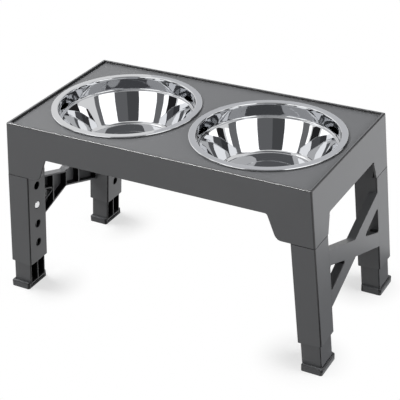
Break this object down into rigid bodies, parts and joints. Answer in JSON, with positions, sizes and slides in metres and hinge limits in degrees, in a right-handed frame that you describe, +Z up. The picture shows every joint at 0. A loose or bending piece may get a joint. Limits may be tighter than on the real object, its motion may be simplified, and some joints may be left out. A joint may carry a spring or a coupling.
{
  "type": "raised dog feeder stand",
  "caption": "Raised dog feeder: lift-out steel bowls in a dark moulded table top on folding leg frames whose feet slide to set the height.",
  "frame": {"origin": "on the floor, below the middle of the table", "axes": "+X along the table's length from the left bowl to the right one, +Y to the back, +Z up"},
  "size_m": [0.486, 0.2498, 0.262],
  "materials": {
    "table_plastic": "fine moulded satin",
    "frame_plastic": "fine moulded satin",
    "inner_leg_plastic": "fine moulded satin",
    "foot_rubber": "matte",
    "bowl_steel": "polished stainless steel",
    "clip_steel": "bright spring steel",
    "pin_steel": "zinc plated"
  },
  "bodies": {
    "table": {"table_top": "table_plastic", "front_left_hinge_pin": "pin_steel", "back_left_hinge_pin": "pin_steel", "front_right_hinge_pin": "pin_steel", "back_right_hinge_pin": "pin_steel"},
    "left_frame": {"left_leg_frame": "frame_plastic"},
    "left_bowl_body": {"left_bowl": "bowl_steel"},
    "right_frame": {"right_leg_frame": "frame_plastic"},
    "right_bowl_body": {"right_bowl": "bowl_steel"},
    "front_left_leg": {"front_left_inner_leg": "inner_leg_plastic", "front_left_foot": "foot_rubber"},
    "front_left_clip": {"front_left_button_clip": "clip_steel"},
    "back_left_leg": {"back_left_inner_leg": "inner_leg_plastic", "back_left_foot": "foot_rubber"},
    "back_left_clip": {"back_left_button_clip": "clip_steel"},
    "front_right_leg": {"front_right_inner_leg": "inner_leg_plastic", "front_right_foot": "foot_rubber"},
    "front_right_clip": {"front_right_button_clip": "clip_steel"},
    "back_right_leg": {"back_right_inner_leg": "inner_leg_plastic", "back_right_foot": "foot_rubber"},
    "back_right_clip": {"back_right_button_clip": "clip_steel"}
  },
  "joints": [
    {"name": "left_frame_fold", "type": "hinge", "parent": "table", "child": "left_frame", "pos_m": [-0.18379, 0, 0.1945], "axis": [0, -1, 0], "range_deg": [0, 94.6]},
    {"name": "left_bowl_lift", "type": "slide", "parent": "table", "child": "left_bowl_body", "axis": [0, 0, 1], "range_m": [0, 0.12]},
    {"name": "right_frame_fold", "type": "hinge", "parent": "table", "child": "right_frame", "pos_m": [0.18379, 0, 0.1945], "axis": [0, 1, 0], "range_deg": [0, 94.6]},
    {"name": "right_bowl_lift", "type": "slide", "parent": "table", "child": "right_bowl_body", "axis": [0, 0, 1], "range_m": [0, 0.12]},
    {"name": "front_left_leg_slide", "type": "slide", "parent": "left_frame", "child": "front_left_leg", "axis": [0.0802, 0, 0.9968], "range_m": [-0.062, 0.031], "deforming": ["front_left_button_clip"]},
    {"name": "front_left_button_press", "type": "slide", "parent": "front_left_leg", "child": "front_left_clip", "axis": [-0.9968, 0, 0.0802], "range_m": [0, 0.0044], "stiffness_N_per_m": 1200, "springref_m": -0.001, "deforming": ["front_left_button_clip"]},
    {"name": "back_left_leg_slide", "type": "slide", "parent": "left_frame", "child": "back_left_leg", "axis": [0.0802, 0, 0.9968], "range_m": [-0.062, 0.031], "deforming": ["back_left_button_clip"]},
    {"name": "back_left_button_press", "type": "slide", "parent": "back_left_leg", "child": "back_left_clip", "axis": [-0.9968, 0, 0.0802], "range_m": [0, 0.0044], "stiffness_N_per_m": 1200, "springref_m": -0.001, "deforming": ["back_left_button_clip"]},
    {"name": "front_right_leg_slide", "type": "slide", "parent": "right_frame", "child": "front_right_leg", "axis": [-0.0802, 0, 0.9968], "range_m": [-0.062, 0.031], "deforming": ["front_right_button_clip"]},
    {"name": "front_right_button_press", "type": "slide", "parent": "front_right_leg", "child": "front_right_clip", "axis": [0.9968, 0, 0.0802], "range_m": [0, 0.0044], "stiffness_N_per_m": 1200, "springref_m": -0.001, "deforming": ["front_right_button_clip"]},
    {"name": "back_right_leg_slide", "type": "slide", "parent": "right_frame", "child": "back_right_leg", "axis": [-0.0802, 0, 0.9968], "range_m": [-0.062, 0.031], "deforming": ["back_right_button_clip"]},
    {"name": "back_right_button_press", "type": "slide", "parent": "back_right_leg", "child": "back_right_clip", "axis": [0.9968, 0, 0.0802], "range_m": [0, 0.0044], "stiffness_N_per_m": 1200, "springref_m": -0.001, "deforming": ["back_right_button_clip"]}
  ]
}
